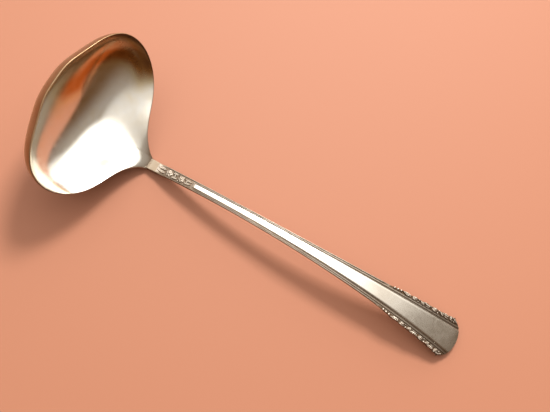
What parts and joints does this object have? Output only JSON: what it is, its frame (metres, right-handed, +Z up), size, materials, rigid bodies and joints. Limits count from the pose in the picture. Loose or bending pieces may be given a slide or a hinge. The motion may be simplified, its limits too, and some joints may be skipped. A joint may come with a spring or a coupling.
{
  "type": "sauce ladle",
  "caption": "Silver sauce ladle with a wide tilted bowl, a pouring lip on each side and a long arched handle with reeded edges and flower borders.",
  "frame": {"origin": "on the surface that the ladle lies on, under the middle of its outer box", "axes": "+X from the bowl to the handle's tip, +Y across the handle, +Z up"},
  "size_m": [0.165, 0.0606, 0.0375],
  "materials": {
    "bowl_silver": "polished, slightly tarnished silver with fine scratches",
    "handle_silver": "satin-polished silver, dark patina in the grooves",
    "panel_silver": "satin-polished silver with fine lengthwise scratches",
    "relief_silver": "oxidised silver, bright on its high points"
  },
  "bodies": {
    "root": {"bowl": "bowl_silver", "heel_drop": "handle_silver", "handle": "handle_silver", "centre_panel": "panel_silver", "inner_reed_left": "handle_silver", "inner_reed_right": "handle_silver", "edge_reed_left": "handle_silver", "edge_reed_right": "handle_silver", "flower_border_left": "relief_silver", "flower_border_right": "relief_silver", "neck_spray": "relief_silver"}
  },
  "joints": []
}
